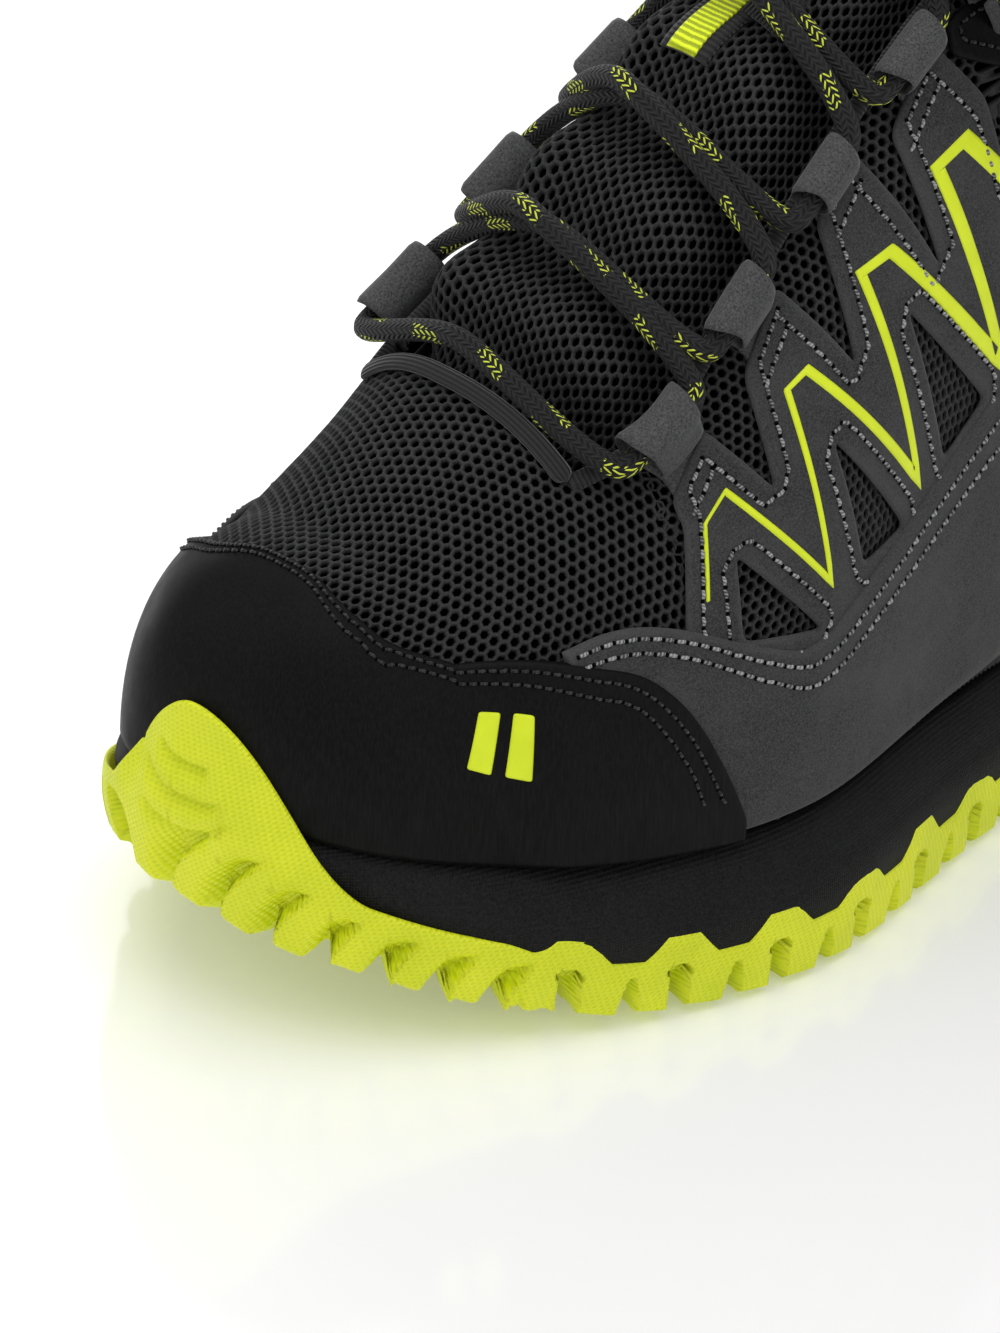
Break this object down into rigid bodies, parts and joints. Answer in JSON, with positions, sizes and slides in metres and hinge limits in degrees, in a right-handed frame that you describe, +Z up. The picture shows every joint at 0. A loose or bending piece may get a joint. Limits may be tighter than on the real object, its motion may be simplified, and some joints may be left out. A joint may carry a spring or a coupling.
{
  "type": "running shoe",
  "caption": "Left trail running shoe: lugged sole with toe bumper, mesh upper with overlays, padded tongue and collar, looped lacing.",
  "frame": {"origin": "on the ground, in the middle of the flat face of the seventh centre lug, under the shank", "axes": "+X from heel to toe, +Y to the outer side of this left shoe, +Z up from the ground"},
  "size_m": [0.3001, 0.1143, 0.1988],
  "materials": {
    "rubber_green": "matt moulded rubber with a fine knurl",
    "eva_black": "moulded foam with a woven texture",
    "board": "pressed fibre board",
    "footbed_foam": "textile-covered foam",
    "mesh_black": "open spacer mesh",
    "lining_textile": "soft knitted lining",
    "foam": "open-cell foam",
    "stiffener": "thermoformed sheet",
    "toe_synthetic": "smooth coated synthetic with a fine brushed grain",
    "nubuck_grey": "nubuck-finish synthetic leather",
    "film_green": "welded film",
    "binding_textile": "ribbed tape",
    "webbing": "woven webbing",
    "lace_cord": "round braided cord with bright flecks",
    "aglet_plastic": "clear-coated tip"
  },
  "bodies": {
    "root": {"outsole": "rubber_green", "centre_lugs": "rubber_green", "midsole": "eva_black", "insole_board": "board", "footbed": "footbed_foam", "vamp": "mesh_black", "quarter_lateral": "mesh_black", "quarter_medial": "mesh_black", "vamp_lining": "lining_textile", "collar_lining": "lining_textile", "collar_foam": "foam", "toe_puff": "stiffener", "heel_counter": "stiffener", "toe_cap": "toe_synthetic", "toe_mark": "film_green", "mudguard_lateral": "nubuck_grey", "mudguard_medial": "nubuck_grey", "strap_overlay_lateral": "nubuck_grey", "strap_overlay_medial": "nubuck_grey", "stripe_lateral": "film_green", "stripe_medial": "film_green", "ankle_patch_lateral": "toe_synthetic", "ankle_patch_medial": "toe_synthetic", "backstay": "nubuck_grey", "collar_binding": "binding_textile", "throat_binding": "binding_textile", "lace_loops_lateral": "nubuck_grey", "lace_loops_medial": "nubuck_grey", "lace": "lace_cord", "lace_knot": "lace_cord"},
    "tongue": {"tongue_cover": "mesh_black", "tongue_foam": "foam", "tongue_lining": "lining_textile", "lace_keeper": "webbing"},
    "pull_loop": {"pull_loop": "webbing"},
    "bow_lateral": {"bow_loop_lateral": "lace_cord"},
    "bow_medial": {"bow_loop_medial": "lace_cord"},
    "tail_lateral": {"lace_tail_lateral": "lace_cord", "aglet_lateral": "aglet_plastic"},
    "tail_medial": {"lace_tail_medial": "lace_cord", "aglet_medial": "aglet_plastic"}
  },
  "joints": [
    {"name": "tongue_sag", "type": "hinge", "parent": "root", "child": "tongue", "pos_m": [0.0874, -0.01414, 0.092], "axis": [0, -1, 0], "range_deg": [0, 3]},
    {"name": "pull_loop_fold", "type": "hinge", "parent": "root", "child": "pull_loop", "pos_m": [-0.141, -0.00504, 0.1169], "axis": [0, -1, 0], "range_deg": [0, 60]},
    {"name": "bow_lateral_lift", "type": "hinge", "parent": "root", "child": "bow_lateral", "pos_m": [-0.0091, -0.01034, 0.1917], "axis": [0.7398, 0, -0.6728], "range_deg": [0, 50]},
    {"name": "bow_medial_lift", "type": "hinge", "parent": "root", "child": "bow_medial", "pos_m": [-0.0091, -0.01034, 0.1917], "axis": [-0.7398, 0, 0.6728], "range_deg": [0, 50]},
    {"name": "tail_lateral_lift", "type": "hinge", "parent": "root", "child": "tail_lateral", "pos_m": [-0.0091, -0.01034, 0.1917], "axis": [0.7398, 0, -0.6728], "range_deg": [0, 50]},
    {"name": "tail_medial_lift", "type": "hinge", "parent": "root", "child": "tail_medial", "pos_m": [-0.0091, -0.01034, 0.1917], "axis": [-0.7398, 0, 0.6728], "range_deg": [0, 50]}
  ]
}
